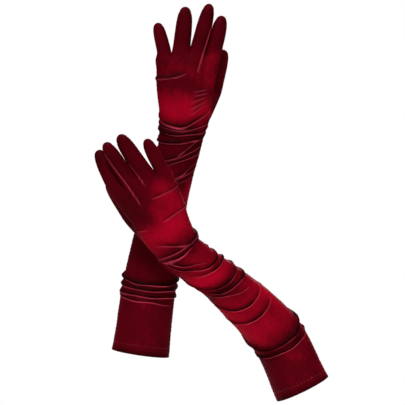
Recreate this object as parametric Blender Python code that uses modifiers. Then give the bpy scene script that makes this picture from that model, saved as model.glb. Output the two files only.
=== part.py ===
"""A pair of long stretch-velvet opera gloves in the shape they have on raised, crossed arms, left empty.

Units are metres, +Z up. The origin is the centre of the left glove's arm opening; -Y is the side that
the backs of both hands face. Each glove is cut and sewn from cloth panels: a back and a palm panel for the
sleeve and the hand, two panels for each finger with fourchette strips between neighbouring fingers, a set-in
thumb, and a hem turned up inside the cuff. Every panel is a closed solid of cloth thickness, and panels that
are sewn together keep a narrow seam gap. The cloth bends at the wrist and at the root of each digit.

A hand is laid out in its own frame (across, along, out): across the hand towards the thumb, along it
towards the fingertips from the wrist, and out of the back of the hand.
"""

import math

import bmesh
import bpy
from mathutils import Matrix, Vector

# Cloth and sewing
CLOTH = 0.0012              # thickness of the velvet
SEAM_GAP = 0.0006           # between two panels that are sewn together
BEND_GAP = CLOTH            # between two panels where the cloth bends
QUIRK_GAP = CLOTH + 0.0002  # round the small gussets in the finger crotches, where the cloth turns inwards
THREAD_RADIUS = 0.00035
THREAD_CLEARANCE = 0.0003   # between a thread and the cloth that it lies on
HEM_HEIGHT = 0.015          # of the cloth turned up inside the cuff
HEM_STITCH_HEIGHT = 0.012   # of the stitching above the cuff's edge
HEM_CLEARANCE = 0.0003      # between the turned-up cloth and the sleeve

# Arm inside the sleeve: share of the way from cuff to wrist, half width across, half depth
CUFF_HALF = (0.0378, 0.0362)
WRIST_HALF = (0.0284, 0.0195)
ARM_SIZES = (
    (0.00, *CUFF_HALF),
    (0.10, 0.0362, 0.0350),
    (0.30, 0.0352, 0.0335),
    (0.52, 0.0322, 0.0300),
    (0.72, 0.0272, 0.0240),
    (0.86, 0.0256, 0.0208),
    (1.00, *WRIST_HALF),
)
SLEEVE_RINGS = 12
COLUMNS = 20                # of cloth facets round the sleeve and the palm
HALF_COLUMNS = COLUMNS // 2

# The palm: distance along from the wrist, ulnar edge, radial edge, half depth
PALM_ROWS = (
    (0.000, -WRIST_HALF[0], WRIST_HALF[0], WRIST_HALF[1]),
    (0.018, -0.0300, 0.0310, 0.0192),
    (0.036, -0.0330, 0.0325, 0.0185),
    (0.056, -0.0395, 0.0320, 0.0170),
    (0.078, -0.0445, 0.0328, 0.0148),
)
PALM_SQUARENESS = 0.85      # exponent of the palm's section, 1 is an ellipse
THUMB_ROWS = (1, 3)         # palm rows between which the thumb is set in
THUMB_COLUMNS = 3           # palm columns that the thumb's seam spans, from the side seam
THUMB_TWIST = math.radians(-27)  # turns the thumb's rings so that they face the palm's opening

# Finger crotches, from the thumb side: (across, along); and the outer edges of the index and little finger
CROTCHES = ((0.0165, 0.111), (-0.0032, 0.116), (-0.0270, 0.105))
RADIAL_EDGE = (0.0365, 0.104)
ULNAR_EDGE = (-0.0465, 0.098)
CROTCH_DIP = 0.004          # how far the web's dorsal and palmar ends lie behind its middle
KNUCKLE_HALF_DEPTH = 0.0098
WEB_HALF_DEPTH = 0.0070
EDGE_INSET = 0.0030

# Fingers, from the thumb side: root centre (across, along, out), half width, half depth
FINGERS = ("index", "middle", "ring", "little")
FINGER_ROOTS = {
    "index": ((0.0274, 0.1160, -0.0020), 0.0086, 0.0088),
    "middle": ((0.0068, 0.1210, 0.0005), 0.0086, 0.0090),
    "ring": ((-0.0152, 0.1180, 0.0000), 0.0096, 0.0090),
    "little": ((-0.0370, 0.1090, -0.0010), 0.0082, 0.0080),
}
FINGER_STATIONS = ((0.0, 1.0), (0.34, 0.97), (0.66, 0.90), (0.90, 0.66))  # (share of length, share of width)
FINGER_BOW = 0.0020         # how far a relaxed finger arches out
FOURCHETTE_ANGLE = math.radians(36)  # half the arc that a fourchette covers

# Thumb: root centre (across, along, out), and its half width and half depth by the share of its length
THUMB_ROOT = (0.0345, 0.0610, -0.0265)
THUMB_STATIONS = ((0.0, 0.0118, 0.0108), (0.30, 0.0106, 0.0100), (0.58, 0.0098, 0.0094), (0.87, 0.0068, 0.0066))

VELVET = (0.22, 0.0, 0.02, 1.0)
THREAD = (0.16, 0.0, 0.015, 1.0)

# Each glove: mirror side, the arm's centre line from the cuff to the wrist, the direction of the cuff's axis
# and of the hand, how far the hand is rolled about it, whether its wrist bends towards the palm (-1) or the
# back of the hand (1), and where each tip lies in the hand's frame.
GLOVES = {
    "left": {
        "side": 1,
        "arm": ((0.0, 0.0, 0.0), (0.0115, 0.002, 0.0877), (0.0326, -0.005, 0.1958), (0.0550, -0.020, 0.2908)),
        "cuff_axis": (0.145, 0.0, 0.989),
        "hand_axis": (0.137, -0.174, 0.975),
        "roll": math.radians(4),
        "wrist_bends": -1,
        "tips": {
            "index": (0.0327, 0.1660, -0.003),
            "middle": (0.0140, 0.1795, 0.000),
            "ring": (-0.0169, 0.1715, 0.000),
            "little": (-0.0512, 0.1455, 0.000),
            "thumb": (0.0425, 0.1195, -0.0290),
        },
    },
    "right": {
        "side": -1,
        "arm": ((0.2200, 0.020, -0.0502), (0.1837, 0.014, 0.0232), (0.1192, -0.020, 0.0888),
                (0.0700, -0.051, 0.1274), (0.0530, -0.062, 0.1409)),
        "cuff_axis": (-0.440, 0.0, 0.898),
        "hand_axis": (-0.50, -0.28, 0.81),
        "roll": math.radians(10),
        "wrist_bends": 1,
        "tips": {
            "index": (0.0240, 0.1660, -0.015),
            "middle": (0.0070, 0.1740, 0.003),
            "ring": (-0.0130, 0.1725, -0.003),
            "little": (-0.0402, 0.1510, 0.000),
            "thumb": (0.0375, 0.1185, -0.0300),
        },
    },
}


def clear_scene():
    for thing in list(bpy.data.objects):
        bpy.data.objects.remove(thing)


def material(name, colour, roughness):
    made = bpy.data.materials.new(name)
    made.use_nodes = True
    shader = made.node_tree.nodes["Principled BSDF"]
    shader.inputs["Base Color"].default_value = colour
    shader.inputs["Roughness"].default_value = roughness
    return made


def frame_about(along, out, side, roll=0.0):
    """(across, along, out) unit vectors, with out turned square to along and rolled about it."""
    along = Vector(along).normalized()
    out = Vector(out)
    out = (out - along * out.dot(along)).normalized()
    across = along.cross(out) * side
    turned = out * math.cos(roll) + across * math.sin(roll)
    return along.cross(turned) * side, along, turned


def hermite(start, end, start_slope, end_slope, t):
    t2, t3 = t * t, t * t * t
    return (
        start * (2 * t3 - 3 * t2 + 1)
        + start_slope * (t3 - 2 * t2 + t)
        + end * (3 * t2 - 2 * t3)
        + end_slope * (t3 - t2)
    )


def arm_line(glove):
    """A function from 0 at the cuff to 1 at the wrist that gives the arm's centre and direction."""
    knots = [Vector(knot) for knot in glove["arm"]]
    lengths = [(b - a).length for a, b in zip(knots, knots[1:])]
    slopes = [Vector(glove["cuff_axis"]).normalized()]
    slopes += [(c - a).normalized() for a, c in zip(knots, knots[2:])]
    slopes += [Vector(glove["hand_axis"]).normalized()]
    total = sum(lengths)

    def place(share):
        reach = share * total
        for i, length in enumerate(lengths):
            if reach <= length or i == len(lengths) - 1:
                break
            reach -= length
        return hermite(knots[i], knots[i + 1], slopes[i] * length, slopes[i + 1] * length, reach / length)

    def line(share):
        step = 0.001
        ahead, behind = place(min(share + step, 1.0)), place(max(share - step, 0.0))
        return place(share), (ahead - behind).normalized()

    return line


def arm_half_size(share):
    """Half width and half depth of the arm at a share of the sleeve's length."""
    for (low, *first), (high, *second) in zip(ARM_SIZES, ARM_SIZES[1:]):
        if share <= high:
            t = (share - low) / (high - low)
            return tuple(a + (b - a) * t for a, b in zip(first, second))
    return WRIST_HALF


def palm_section(row):
    """The palm's cross-section at one row, as (across, along, out) points from the thumb side round the back."""
    along, ulnar, radial, depth = row
    middle, half = (ulnar + radial) / 2, (radial - ulnar) / 2
    layout = finger_layout()
    blend = max(0.0, (along - PALM_ROWS[2][0]) / (RADIAL_EDGE[1] - PALM_ROWS[2][0]))
    points = []
    for column in range(COLUMNS):
        angle = math.tau * column / COLUMNS
        c, s = math.cos(angle), math.sin(angle)
        x = middle + half * math.copysign(abs(c) ** PALM_SQUARENESS, c)
        out = depth * math.copysign(abs(s) ** PALM_SQUARENESS, s)
        mirrored = column if column <= HALF_COLUMNS else COLUMNS - column
        x_layout, along_layout = layout[mirrored]
        share = (radial - x_layout) / (RADIAL_EDGE[0] - ULNAR_EDGE[0])
        x = x * (1 - blend) + (radial - share * (radial - ulnar)) * blend
        bulge = (along_layout - (RADIAL_EDGE[1] + ULNAR_EDGE[1]) / 2) * blend * 0.7
        points.append((x, along + bulge, out))
    return points


def finger_layout():
    """(across, along) where each dorsal column reaches the line of the finger crotches, from the thumb side."""
    edges = [RADIAL_EDGE, *CROTCHES, ULNAR_EDGE]
    points = [RADIAL_EDGE]
    for i, finger in enumerate(FINGERS):
        (x0, a0), (x1, a1) = edges[i], edges[i + 1]
        start = (x0 - EDGE_INSET, a0) if i == 0 else (x0, a0 - CROTCH_DIP)
        points.append(start)
        points.append((FINGER_ROOTS[finger][0][0], (a0 + a1) / 2 + 0.001))
    points.append((ULNAR_EDGE[0] + EDGE_INSET, ULNAR_EDGE[1]))
    points.append(ULNAR_EDGE)
    return points


def crotch_section():
    """The last palm row, at the finger crotches."""
    points = []
    layout = finger_layout()
    for column in range(COLUMNS):
        mirrored = column if column <= HALF_COLUMNS else COLUMNS - column
        x, along = layout[mirrored]
        on_side = column in (0, HALF_COLUMNS)
        depth = WEB_HALF_DEPTH if mirrored in (1, 3, 5, 7, 9) else KNUCKLE_HALF_DEPTH
        sign = 1 if column < HALF_COLUMNS else -1
        points.append((x, along, 0.0 if on_side else depth * sign))
    return points


def oval(centre, frame, half_width, half_depth, angles):
    across, _, out = frame
    return [centre + across * (half_width * math.cos(a)) + out * (half_depth * math.sin(a)) for a in angles]


class Sheet:
    """The whole glove as one sheet of facets, each facet labelled with the panel that it belongs to."""

    def __init__(self):
        self.points = []
        self.faces = {}

    def add(self, points):
        first = len(self.points)
        self.points += [Vector(p) for p in points]
        return list(range(first, len(self.points)))

    def face(self, panel, corners):
        self.faces.setdefault(panel, []).append(corners)

    def join_rings(self, lower, upper, label):
        """Facets between two rings; label(i) names the panel of the facet that starts at column i."""
        n = len(lower)
        for i in range(n):
            j = (i + 1) % n
            panel = label(i)
            if panel:
                self.face(panel, (lower[i], lower[j], upper[j], upper[i]))

    def close_tip(self, ring, tip, label):
        """Facets, two columns wide, from a ring to the tip point."""
        n = len(ring)
        for i in range(0, n, 2):
            self.face(label(i), (ring[i], ring[(i + 1) % n], ring[(i + 2) % n], tip))


def back_or_palm(part):
    return lambda column: f"{part}_back" if column < HALF_COLUMNS else f"{part}_palm"


FINGER_ANGLES = [
    0.0, FOURCHETTE_ANGLE, math.pi / 2, math.pi - FOURCHETTE_ANGLE,
    math.pi, math.pi + FOURCHETTE_ANGLE, 3 * math.pi / 2, math.tau - FOURCHETTE_ANGLE,
]
RADIAL_SIDE, BACK_SIDE, ULNAR_SIDE, FRONT_SIDE = (7, 0), (1, 2), (3, 4), (5, 6)


def finger_label(finger, on_stub):
    """Names the panel of a finger's facet by the column that it starts at."""
    number = FINGERS.index(finger)

    def label(column):
        if column in ULNAR_SIDE and finger != "little":
            return f"{finger}_{FINGERS[number + 1]}_quirk" if on_stub else f"{finger}_ulnar_fourchette"
        if column in RADIAL_SIDE and finger != "index":
            return f"{FINGERS[number - 1]}_{finger}_quirk" if on_stub else f"{finger}_radial_fourchette"
        dorsal = column in (0, *BACK_SIDE, ULNAR_SIDE[0])
        if on_stub:
            return "hand_back" if dorsal else "hand_palm"
        return f"{finger}_back" if dorsal else f"{finger}_front"

    return label


def tip_label(finger):
    return lambda column: f"{finger}_back" if column < len(FINGER_ANGLES) // 2 else f"{finger}_front"


class Glove:
    """One glove: its sheet of labelled facets, and the hinge lines where the cloth bends."""

    def __init__(self, name):
        spec = GLOVES[name]
        self.name = name
        self.side = spec["side"]
        self.spec = spec
        self.sheet = Sheet()
        self.hinges = {}
        self.wrist = Vector(spec["arm"][-1])
        self.hand_frame = frame_about(spec["hand_axis"], (0, -1, 0), self.side, spec["roll"])
        self.line = arm_line(spec)
        sleeve_end = self.sleeve()
        self.palm(sleeve_end)
        self.hinges["hand"] = self.wrist_hinge()

    def in_hand(self, point):
        across, along, out = self.hand_frame
        return self.wrist + across * point[0] + along * point[1] + out * point[2]

    def arm_frame(self, share):
        centre, along = self.line(share)
        return centre, frame_about(along, (0, -1, 0), self.side, self.spec["roll"])

    def arm_ring(self, share, inset=0.0):
        centre, frame = self.arm_frame(share)
        half_width, half_depth = arm_half_size(share)
        angles = [math.tau * i / COLUMNS for i in range(COLUMNS)]
        return oval(centre, frame, half_width - inset, half_depth - inset, angles)

    def facet_ring(self, share, inset=0.0):
        """A ring on the sleeve's flat facets, between two of its rings."""
        place = share * (SLEEVE_RINGS - 1)
        first = min(int(place), SLEEVE_RINGS - 2)
        lower, upper = (self.arm_ring((first + k) / (SLEEVE_RINGS - 1), inset) for k in range(2))
        return [a.lerp(b, place - first) for a, b in zip(lower, upper)]

    def sleeve(self):
        rings = [self.sheet.add(self.arm_ring(i / (SLEEVE_RINGS - 1))) for i in range(SLEEVE_RINGS)]
        for lower, upper in zip(rings, rings[1:]):
            self.sheet.join_rings(lower, upper, back_or_palm("sleeve"))
        return rings[-1]

    def palm(self, ring):
        """The palm from the wrist to the crotches, the four fingers and the thumb."""
        rows = [ring]
        for row in PALM_ROWS[1:]:
            rows.append(self.sheet.add([self.in_hand(p) for p in palm_section(row)]))
        rows.append(self.sheet.add([self.in_hand(p) for p in crotch_section()]))
        first, last = THUMB_ROWS
        hole = range(COLUMNS - THUMB_COLUMNS, COLUMNS)
        for i, (lower, upper) in enumerate(zip(rows, rows[1:])):
            in_hole_rows = first <= i < last
            label = back_or_palm("hand")
            self.sheet.join_rings(lower, upper, lambda c: None if in_hole_rows and c in hole else label(c))
        self.fingers(rows[-1])
        self.thumb(rows[first:last + 1])

    def fingers(self, row):
        webs = [None] + self.sheet.add([self.in_hand((x, a, 0.0)) for x, a in CROTCHES]) + [None]
        webs[0], webs[-1] = row[0], row[HALF_COLUMNS]
        for i, finger in enumerate(FINGERS):
            dorsal = [row[1 + 2 * i + k] for k in range(3)]
            palmar = [row[COLUMNS - 1 - 2 * i - k] for k in range(3)]
            base = [webs[i], *dorsal, webs[i + 1], *reversed(palmar)]
            self.finger(finger, base)

    def finger(self, finger, base):
        root, half_width, half_depth = FINGER_ROOTS[finger]
        start, tip = self.in_hand(root), self.in_hand(self.spec["tips"][finger])
        frame = frame_about(tip - start, self.hand_frame[2], self.side)
        lower, label = base, finger_label(finger, True)
        for share, width in FINGER_STATIONS:
            bow = frame[2] * (FINGER_BOW * 4 * share * (1 - share))
            centre = start.lerp(tip, share) + bow
            points = oval(centre, frame, half_width * width, half_depth * width, FINGER_ANGLES)
            upper = self.sheet.add(points)
            self.sheet.join_rings(lower, upper, label)
            lower = upper
            last_row = share == FINGER_STATIONS[-2][0]
            label = tip_rows_label(finger) if last_row else finger_label(finger, False)
        self.sheet.close_tip(lower, self.sheet.add([tip])[0], tip_label(finger))
        drop = half_depth + CLOTH + BEND_GAP
        self.hinges[finger] = (start - frame[2] * drop, -frame[0] * self.side)

    def thumb(self, rows):
        """The thumb, set into the hole that the palm's rows leave between the side seam and THUMB_COLUMNS."""
        low, middle, high = rows
        seam, near, far, end = 0, COLUMNS - 1, COLUMNS - 2, COLUMNS - THUMB_COLUMNS
        base = [
            low[near], low[seam], middle[seam], high[seam], high[near],
            high[far], high[end], middle[end], low[end], low[far],
        ]
        angles = [THUMB_TWIST + math.tau * i / len(base) for i in range(len(base))]
        root, tip = self.in_hand(THUMB_ROOT), self.in_hand(self.spec["tips"]["thumb"])
        frame = frame_about(tip - root, self.hand_frame[2], self.side)
        lower, label = base, lambda column: "hand_palm"
        for share, half_width, half_depth in THUMB_STATIONS:
            upper = self.sheet.add(oval(root.lerp(tip, share), frame, half_width, half_depth, angles))
            self.sheet.join_rings(lower, upper, label)
            lower, label = upper, lambda column: "thumb_back" if column < 5 else "thumb_front"
        self.sheet.close_tip(lower, self.sheet.add([tip])[0], lambda c: "thumb_back" if c < 5 else "thumb_front")
        reach = THUMB_STATIONS[0][1] + CLOTH + BEND_GAP
        self.hinges["thumb"] = (root + frame[0] * reach, frame[1].cross(frame[0]))

    def wrist_hinge(self):
        """The wrist's bend line, on the surface towards which the hand bends."""
        _, along, out = self.hand_frame
        towards = out * self.spec["wrist_bends"]
        return self.wrist + towards * (WRIST_HALF[1] + CLOTH + BEND_GAP), along.cross(towards)


def tip_rows_label(finger):
    """The last row before the tip has no fourchette: back and front panel meet on the finger's sides."""
    return lambda column: f"{finger}_back" if column < len(FINGER_ANGLES) // 2 else f"{finger}_front"


def draw_back_edges(bm, gaps):
    """Moves a panel's edge in from its neighbours, within the cloth. gaps maps a vertex to its half gap."""
    moves = {}
    for vert in bm.verts:
        inward = []
        for edge in vert.link_edges:
            if edge.is_boundary:
                face = edge.link_faces[0]
                run = (edge.verts[1].co - edge.verts[0].co).normalized()
                side = face.normal.cross(run)
                if side.dot(face.calc_center_median() - edge.verts[0].co) < 0:
                    side = -side
                inward.append(side)
        if len(inward) == 2:
            both = (inward[0] + inward[1]) / (1 + max(inward[0].dot(inward[1]), -0.5))
            moves[vert] = both * gaps[vert.index]
    for vert, move in moves.items():
        vert.co += move


def cloth_panel(glove, panel, bend_points, collection, velvet):
    """One panel as a sheet of facets on the inside of the cloth, thickened outwards."""
    faces = glove.sheet.faces[panel]
    used = sorted({i for f in faces for i in f})
    number = {old: new for new, old in enumerate(used)}
    mesh = bpy.data.meshes.new(f"{glove.name}_{panel}")
    points = [glove.sheet.points[i] for i in used]
    mesh.from_pydata(points, [], [[number[i] for i in f] for f in faces])
    bm = bmesh.new()
    bm.from_mesh(mesh)
    if glove.side > 0:
        bmesh.ops.reverse_faces(bm, faces=bm.faces)
    bm.verts.ensure_lookup_table()
    bm.normal_update()
    seam = QUIRK_GAP if panel.endswith("quirk") else SEAM_GAP
    gaps = {number[i]: (BEND_GAP if i in bend_points else seam) / 2 for i in used}
    draw_back_edges(bm, gaps)
    bmesh.ops.triangulate(bm, faces=bm.faces)
    bm.to_mesh(mesh)
    bm.free()
    made = bpy.data.objects.new(mesh.name, mesh)
    collection.objects.link(made)
    made.data.materials.append(velvet)
    thick = made.modifiers.new("cloth", "SOLIDIFY")
    thick.thickness = CLOTH
    thick.offset = 1.0
    made.data.shade_smooth()
    return made


def hem_facing(glove, collection, velvet):
    """The cloth turned up inside the cuff, as one ring."""
    knots = [Vector(knot) for knot in glove.spec["arm"]]
    length = sum((b - a).length for a, b in zip(knots, knots[1:]))
    inset = HEM_CLEARANCE + CLOTH
    shares = (SEAM_GAP / length, HEM_HEIGHT / length)
    rings = [glove.facet_ring(share, inset) for share in shares]
    mesh = bpy.data.meshes.new(f"{glove.name}_hem_facing")
    faces = [(i, (i + 1) % COLUMNS, COLUMNS + (i + 1) % COLUMNS, COLUMNS + i) for i in range(COLUMNS)]
    mesh.from_pydata(rings[0] + rings[1], [], faces)
    if glove.side > 0:
        mesh.flip_normals()
    made = bpy.data.objects.new(mesh.name, mesh)
    collection.objects.link(made)
    made.data.materials.append(velvet)
    thick = made.modifiers.new("cloth", "SOLIDIFY")
    thick.thickness = CLOTH
    thick.offset = 1.0
    made.data.shade_smooth()
    return length


def thread(name, points, cyclic, collection, thread_material):
    curve = bpy.data.curves.new(name, "CURVE")
    curve.dimensions = "3D"
    curve.bevel_depth = THREAD_RADIUS
    curve.bevel_resolution = 1
    curve.use_fill_caps = not cyclic
    spline = curve.splines.new("POLY")
    spline.points.add(len(points) - 1)
    for spot, point in zip(spline.points, points):
        spot.co = (*point, 1.0)
    spline.use_cyclic_u = cyclic
    made = bpy.data.objects.new(name, curve)
    collection.objects.link(made)
    curve.materials.append(thread_material)
    return made


def threads(glove, length, collection, thread_material):
    """The hem's stitching round the cuff, and the thread of the two side seams inside the sleeve."""
    stitch_out = CLOTH + THREAD_CLEARANCE + THREAD_RADIUS
    ring = glove.facet_ring(HEM_STITCH_HEIGHT / length, -stitch_out)
    thread(f"{glove.name}_hem_stitching", ring, True, collection, thread_material)
    inset = HEM_CLEARANCE + THREAD_RADIUS
    above_hem = (HEM_HEIGHT + 0.002) / length
    below_wrist = 1 - 0.003 / length
    for seam, column in (("radial", 0), ("ulnar", HALF_COLUMNS)):
        rings = [i / (SLEEVE_RINGS - 1) for i in range(1, SLEEVE_RINGS - 1)]
        shares = [above_hem] + [share for share in rings if above_hem < share < below_wrist] + [below_wrist]
        points = [glove.facet_ring(share, inset)[column] for share in shares]
        thread(f"{glove.name}_{seam}_seam_thread", points, False, collection, thread_material)


def bend_points(glove):
    """Sheet points on the lines where two bodies meet: the wrist and the digits' roots."""
    moving = {}
    for panel, faces in glove.sheet.faces.items():
        body = body_of(panel)
        for face in faces:
            for i in face:
                moving.setdefault(i, set()).add(body)
    return {i for i, bodies in moving.items() if len(bodies) > 1}


def body_of(panel):
    return "hand" if panel.endswith("quirk") else panel.split("_")[0]


def joint_empty(name, origin, axis, parent, collection):
    """An empty on a bend line, with its X axis along the line, that the pieces beyond it hang from."""
    made = bpy.data.objects.new(name, None)
    made.empty_display_size = 0.01
    collection.objects.link(made)
    made.matrix_world = Matrix.Translation(origin) @ axis.to_track_quat("X", "Z").to_matrix().to_4x4()
    if parent:
        hang(made, parent)
    return made


def hang(piece, empty):
    """Parents a piece without moving it."""
    bpy.context.view_layer.update()
    piece.parent = empty
    piece.matrix_parent_inverse = empty.matrix_world.inverted()


def build_glove(name, collection, velvet, thread_material):
    glove = Glove(name)
    bending = bend_points(glove)
    opening, along = glove.line(0.0)
    empties = {"sleeve": joint_empty(f"{name}_sleeve", opening, along, None, collection)}
    for digit in ("hand", *FINGERS, "thumb"):
        parent = empties["sleeve" if digit == "hand" else "hand"]
        empties[digit] = joint_empty(f"{name}_{digit}", *glove.hinges[digit], parent, collection)
    for panel in glove.sheet.faces:
        hang(cloth_panel(glove, panel, bending, collection, velvet), empties[body_of(panel)])
    length = hem_facing(glove, collection, velvet)
    threads(glove, length, collection, thread_material)
    return glove


def main():
    clear_scene()
    collection = bpy.data.collections.new("opera_gloves")
    bpy.context.scene.collection.children.link(collection)
    velvet = material("velvet", VELVET, 0.8)
    thread_material = material("thread", THREAD, 0.6)
    return [build_glove(name, collection, velvet, thread_material) for name in GLOVES]


made_gloves = main()
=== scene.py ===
"""The looks of a pair of dark-red stretch-velvet opera gloves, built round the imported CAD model.

Each glove is one smooth sheet, made from a cage like the CAD's and subdivided, then wrinkled by folds that are
named by where they lie on the arm. It is cut along the CAD panels' seams into cloth pieces with a pile side and a
knitted inner side. Lengths named _MM are in millimetres; all other lengths are in metres.
"""
import math

import bmesh
import bpy
import numpy as np
from mathutils import Matrix, Vector


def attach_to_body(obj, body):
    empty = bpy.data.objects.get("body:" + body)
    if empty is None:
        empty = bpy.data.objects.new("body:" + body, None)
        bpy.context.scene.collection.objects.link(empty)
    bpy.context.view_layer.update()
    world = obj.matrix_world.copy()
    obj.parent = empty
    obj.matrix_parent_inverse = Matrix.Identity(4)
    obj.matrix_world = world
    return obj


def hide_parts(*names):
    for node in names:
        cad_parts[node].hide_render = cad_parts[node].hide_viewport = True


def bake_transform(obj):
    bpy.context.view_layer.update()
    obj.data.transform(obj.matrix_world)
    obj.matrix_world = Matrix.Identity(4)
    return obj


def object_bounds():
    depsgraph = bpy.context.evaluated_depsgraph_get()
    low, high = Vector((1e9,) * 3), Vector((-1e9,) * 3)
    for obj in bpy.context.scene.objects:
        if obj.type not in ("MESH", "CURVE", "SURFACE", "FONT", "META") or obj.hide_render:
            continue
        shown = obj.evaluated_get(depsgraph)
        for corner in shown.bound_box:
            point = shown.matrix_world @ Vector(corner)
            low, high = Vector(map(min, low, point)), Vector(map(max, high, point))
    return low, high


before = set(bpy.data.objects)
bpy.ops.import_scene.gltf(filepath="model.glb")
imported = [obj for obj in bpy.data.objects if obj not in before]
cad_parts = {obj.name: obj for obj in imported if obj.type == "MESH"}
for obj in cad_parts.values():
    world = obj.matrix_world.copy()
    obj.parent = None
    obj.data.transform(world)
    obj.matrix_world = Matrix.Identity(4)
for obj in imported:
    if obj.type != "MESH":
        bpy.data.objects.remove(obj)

CAD_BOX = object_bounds()

# --- The gloves' layout, the same as the CAD's -------------------------------------------------------------
CLOTH = 0.0012              # pile side above the arm
THICKNESS = 0.0009          # of the visible cloth
HEM_CLEARANCE = 0.0001      # between the sleeve and the cloth turned up inside it
COLUMNS = 20
HALF_COLUMNS = COLUMNS // 2
SLEEVE_RINGS = 60
LEVELS = 3                  # of subdivision

CUFF_HALF = (0.0378, 0.0362)
WRIST_HALF = (0.0284, 0.0195)
ARM_SIZES = (
    (0.00, *CUFF_HALF),
    (0.10, 0.0362, 0.0350),
    (0.30, 0.0352, 0.0335),
    (0.52, 0.0322, 0.0300),
    (0.72, 0.0272, 0.0240),
    (0.86, 0.0256, 0.0208),
    (1.00, *WRIST_HALF),
)
PALM_ROWS = (
    (0.000, -WRIST_HALF[0], WRIST_HALF[0], WRIST_HALF[1]),
    (0.009, -0.0291, 0.0295, 0.0194),
    (0.018, -0.0300, 0.0310, 0.0192),
    (0.027, -0.0314, 0.0320, 0.0189),
    (0.036, -0.0333, 0.0325, 0.0185),
    (0.046, -0.0362, 0.0322, 0.0178),
    (0.056, -0.0395, 0.0320, 0.0170),
    (0.067, -0.0424, 0.0323, 0.0160),
    (0.078, -0.0445, 0.0328, 0.0148),
    (0.090, -0.0458, 0.0338, 0.0128),
)
WRIST_ROW = 2               # palm row up to which the cloth belongs to the sleeve's pieces
THUMB_ROWS = (2, 6)
THUMB_COLUMNS = 3
THUMB_CORNERS = (9, 81, 189, 261, 369)  # degrees round the thumb where the corners of its opening lead
PALM_SQUARENESS = 0.85
CROTCHES = ((0.0165, 0.111), (-0.0032, 0.116), (-0.0270, 0.105))
RADIAL_EDGE = (0.0372, 0.104)
ULNAR_EDGE = (-0.0482, 0.098)
CROTCH_DIP = 0.004
KNUCKLE_HALF_DEPTH = 0.0098
WEB_HALF_DEPTH = 0.0070
EDGE_INSET = 0.0030
FINGERS = ("index", "middle", "ring", "little")
FINGER_ROOTS = {
    "index": ((0.0272, 0.1160, -0.0020), 0.0092, 0.0088),
    "middle": ((0.0070, 0.1210, 0.0005), 0.0090, 0.0090),
    "ring": ((-0.0152, 0.1180, 0.0000), 0.0098, 0.0090),
    "little": ((-0.0370, 0.1090, -0.0010), 0.0078, 0.0078),
}
FINGER_STATIONS = (
    (0.0, 1.02), (0.18, 1.0), (0.36, 0.98), (0.54, 0.95), (0.72, 0.87), (0.86, 0.70), (0.95, 0.44),
)
TIP_REACH = 1.03            # of a finger's pointed tip, as a share of the finger's length
FINGER_BOW = 0.0020
FOURCHETTE_ANGLE = math.radians(36)
FINGER_ANGLES = (
    0.0, FOURCHETTE_ANGLE, math.pi / 2, math.pi - FOURCHETTE_ANGLE,
    math.pi, math.pi + FOURCHETTE_ANGLE, 3 * math.pi / 2, math.tau - FOURCHETTE_ANGLE,
)
RADIAL_SIDE, ULNAR_SIDE = (7, 0), (3, 4)
THUMB_ROOT = (0.0345, 0.0610, -0.0265)
THUMB_STATIONS = (
    (0.00, 0.0118, 0.0108), (0.16, 0.0112, 0.0104), (0.32, 0.0106, 0.0100),
    (0.50, 0.0102, 0.0096), (0.68, 0.0094, 0.0090), (0.84, 0.0080, 0.0078), (0.95, 0.0056, 0.0054),
)

GLOVES = {
    "left": {
        "side": 1,
        "arm": ((0.0, 0.0, 0.0), (0.0115, 0.002, 0.0877), (0.0326, -0.005, 0.1958), (0.0550, -0.020, 0.2908)),
        "cuff_axis": (0.145, 0.0, 0.989),
        "hand_axis": (0.137, -0.174, 0.975),
        "roll": math.radians(4),
        "tips": {
            "index": (0.0327, 0.1660, -0.003),
            "middle": (0.0140, 0.1795, 0.000),
            "ring": (-0.0169, 0.1715, 0.000),
            "little": (-0.0512, 0.1455, 0.000),
            "thumb": (0.0425, 0.1195, -0.0290),
        },
    },
    "right": {
        "side": -1,
        "arm": ((0.2200, 0.020, -0.0502), (0.1837, 0.014, 0.0232), (0.1192, -0.020, 0.0888),
                (0.0700, -0.051, 0.1274), (0.0530, -0.062, 0.1409)),
        "cuff_axis": (-0.440, 0.0, 0.898),
        "hand_axis": (-0.50, -0.28, 0.81),
        "roll": math.radians(10),
        "tips": {
            "index": (0.0240, 0.1660, -0.015),
            "middle": (0.0070, 0.1740, 0.003),
            "ring": (-0.0130, 0.1725, -0.003),
            "little": (-0.0402, 0.1510, 0.000),
            "thumb": (0.0375, 0.1185, -0.0300),
        },
    },
}

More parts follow.
